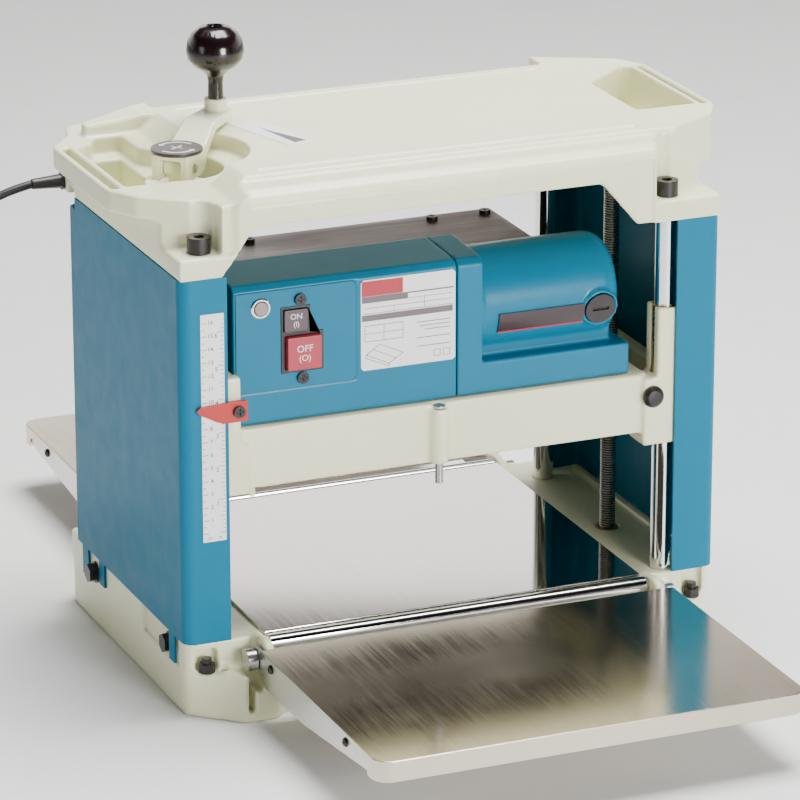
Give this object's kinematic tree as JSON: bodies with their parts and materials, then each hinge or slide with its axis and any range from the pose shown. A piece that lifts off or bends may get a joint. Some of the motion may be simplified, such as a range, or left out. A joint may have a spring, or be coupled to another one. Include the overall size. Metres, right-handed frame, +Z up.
{
  "type": "thickness planer",
  "caption": "Portable bench thickness planer with a rising cutter head, a hand crank on top and folding feed tables.",
  "frame": {"origin": "centre of the footprint on the plane the base stands on", "axes": "+X to the operator's right, +Y along the feed towards the outfeed side, +Z up"},
  "size_m": [0.6285, 0.771, 0.4754],
  "materials": {
    "cream_casting": "light alloy casting, glossy cream paint",
    "teal_sheet": "steel sheet, glossy teal paint",
    "teal_housing": "light alloy housing, glossy teal paint",
    "table_steel": "polished stainless sheet",
    "chip_steel": "bright sheet steel",
    "chrome": "hard chrome plate",
    "machined_steel": "turned steel",
    "blade_steel": "ground tool steel",
    "black_fastener": "black oxide",
    "bearing_brass": "machined",
    "feed_rubber": "matte moulded rubber",
    "belt_rubber": "matte",
    "knob_plastic": "glossy black-brown",
    "black_plastic": "satin black",
    "red_plastic": "glossy red",
    "on_plastic": "satin grey",
    "off_plastic": "satin red",
    "grey_plastic": "satin light grey",
    "fan_plastic": "moulded",
    "white_plate": "printed white enamel",
    "disc_plate": "dark anodised"
  },
  "bodies": {
    "frame": {"base": "cream_casting", "main_table": "table_steel", "guide_columns": "chrome", "base_bolts": "black_fastener", "left_cover": "teal_sheet", "right_cover": "teal_sheet", "scale_plate": "white_plate", "top_frame": "cream_casting", "top_frame_bolts": "black_fastener", "table_hinge_pins": "machined_steel", "screw_bushes": "bearing_brass", "cord_relief": "black_plastic", "cord_tube": "belt_rubber", "cord_coil": "belt_rubber", "mains_plug": "black_plastic"},
    "crank": {"crank_hub": "cream_casting", "left_lead_screw": "machined_steel", "left_bevel_gear": "machined_steel"},
    "crank_handle": {"crank_arm": "cream_casting", "crank_pins": "machined_steel", "direction_disc": "disc_plate"},
    "handle_knob": {"crank_knob": "knob_plastic"},
    "right_screw": {"right_lead_screw": "machined_steel", "right_bevel_gear": "machined_steel"},
    "cross_drive": {"cross_shaft": "machined_steel", "cross_shaft_gears": "machined_steel"},
    "head": {"head_frame": "cream_casting", "guide_bushes": "bearing_brass", "lead_nuts": "bearing_brass", "switch_housing": "teal_housing", "switch_panel": "teal_housing", "motor_housing": "teal_housing", "brush_cap": "black_plastic", "switch_body": "black_plastic", "depth_pointer": "red_plastic", "head_screws": "black_fastener", "chip_cover": "chip_steel", "ball_bearings": "machined_steel", "stator": "machined_steel", "drive_belt": "belt_rubber"},
    "cutter": {"cutter_drum": "machined_steel", "planer_blades": "blade_steel", "blade_clamps": "machined_steel", "cutter_pulley": "machined_steel"},
    "motor_rotor": {"armature": "machined_steel", "cooling_fan": "fan_plastic", "motor_pulley": "machined_steel"},
    "feed_drive": {"feed_sprocket": "machined_steel"},
    "infeed": {"infeed_roller": "feed_rubber"},
    "outfeed": {"outfeed_roller": "feed_rubber"},
    "on_key": {"on_button": "on_plastic"},
    "off_key": {"off_button": "off_plastic"},
    "reset_key": {"reset_button": "grey_plastic"},
    "gauge": {"depth_gauge_pin": "machined_steel"},
    "front_leaf": {"front_table_plate": "table_steel", "front_table_rails": "table_steel"},
    "rear_leaf": {"rear_table_plate": "table_steel", "rear_table_rails": "table_steel"},
    "front_bar_roller": {"front_table_roller": "chrome"},
    "rear_bar_roller": {"rear_table_roller": "chrome"}
  },
  "joints": [
    {"name": "crank_turn", "type": "hinge", "parent": "frame", "child": "crank", "pos_m": [-0.175, -0.026, 0.37], "axis": [0, 0, 1], "range_deg": [-16830, 10530]},
    {"name": "head_lift", "type": "slide", "parent": "frame", "child": "head", "axis": [0, 0, 1], "range_m": [-0.0935, 0.0585]},
    {"name": "right_screw_turn", "type": "hinge", "parent": "frame", "child": "right_screw", "pos_m": [0.175, -0.026, 0.2], "axis": [0, 0, 1], "range_deg": [-10530, 16830]},
    {"name": "cross_shaft_turn", "type": "hinge", "parent": "frame", "child": "cross_drive", "pos_m": [0, -0.026, 0.025], "axis": [1, 0, 0], "range_deg": [-10530, 16830]},
    {"name": "crank_fold", "type": "hinge", "parent": "crank", "child": "crank_handle", "pos_m": [-0.175, -0.026, 0.388], "axis": [0.7314, -0.682, 0], "range_deg": [0, 85]},
    {"name": "knob_spin", "type": "hinge", "parent": "crank_handle", "child": "handle_knob", "pos_m": [-0.12385, 0.02885, 0.44], "axis": [0, 0, 1], "continuous": true},
    {"name": "cutter_spin", "type": "hinge", "parent": "head", "child": "cutter", "pos_m": [0, -0.008, 0.1805], "axis": [1, 0, 0], "continuous": true},
    {"name": "motor_spin", "type": "hinge", "parent": "head", "child": "motor_rotor", "pos_m": [0, -0.082, 0.279], "axis": [1, 0, 0], "continuous": true},
    {"name": "feed_drive_spin", "type": "hinge", "parent": "head", "child": "feed_drive", "pos_m": [0, -0.008, 0.2193], "axis": [1, 0, 0], "continuous": true},
    {"name": "infeed_spin", "type": "hinge", "parent": "head", "child": "infeed", "pos_m": [0, -0.066, 0.176], "axis": [1, 0, 0], "continuous": true},
    {"name": "outfeed_spin", "type": "hinge", "parent": "head", "child": "outfeed", "pos_m": [0, 0.05, 0.176], "axis": [1, 0, 0], "continuous": true},
    {"name": "on_press", "type": "slide", "parent": "head", "child": "on_key", "axis": [0, 1, 0], "range_m": [0, 0.003], "stiffness_N_per_m": 300},
    {"name": "off_press", "type": "slide", "parent": "head", "child": "off_key", "axis": [0, 1, 0], "range_m": [0, 0.003], "stiffness_N_per_m": 300},
    {"name": "reset_press", "type": "slide", "parent": "head", "child": "reset_key", "axis": [0, 1, 0], "range_m": [0, 0.002], "stiffness_N_per_m": 300},
    {"name": "gauge_slide", "type": "slide", "parent": "head", "child": "gauge", "axis": [0, 0, 1], "range_m": [0, 0.003]},
    {"name": "front_table_fold", "type": "hinge", "parent": "frame", "child": "front_leaf", "pos_m": [0, -0.148, 0.046], "axis": [1, 0, 0], "range_deg": [-85, 0]},
    {"name": "rear_table_fold", "type": "hinge", "parent": "frame", "child": "rear_leaf", "pos_m": [0, 0.148, 0.046], "axis": [1, 0, 0], "range_deg": [0, 85]},
    {"name": "front_roller_spin", "type": "hinge", "parent": "frame", "child": "front_bar_roller", "pos_m": [0, -0.142, 0.0545], "axis": [1, 0, 0], "continuous": true},
    {"name": "rear_roller_spin", "type": "hinge", "parent": "frame", "child": "rear_bar_roller", "pos_m": [0, 0.142, 0.0545], "axis": [1, 0, 0], "continuous": true}
  ],
  "couplings": [
    {"joint": "crank_turn", "follows": "head_lift", "rad_per_m": 3141.6},
    {"joint": "right_screw_turn", "follows": "head_lift", "rad_per_m": -3141.6},
    {"joint": "cross_shaft_turn", "follows": "head_lift", "rad_per_m": -3141.6},
    {"joint": "motor_spin", "follows": "cutter_spin", "ratio": 0.93333},
    {"joint": "feed_drive_spin", "follows": "cutter_spin", "ratio": -0.007752},
    {"joint": "infeed_spin", "follows": "cutter_spin", "ratio": -0.007752},
    {"joint": "outfeed_spin", "follows": "cutter_spin", "ratio": -0.007752}
  ]
}
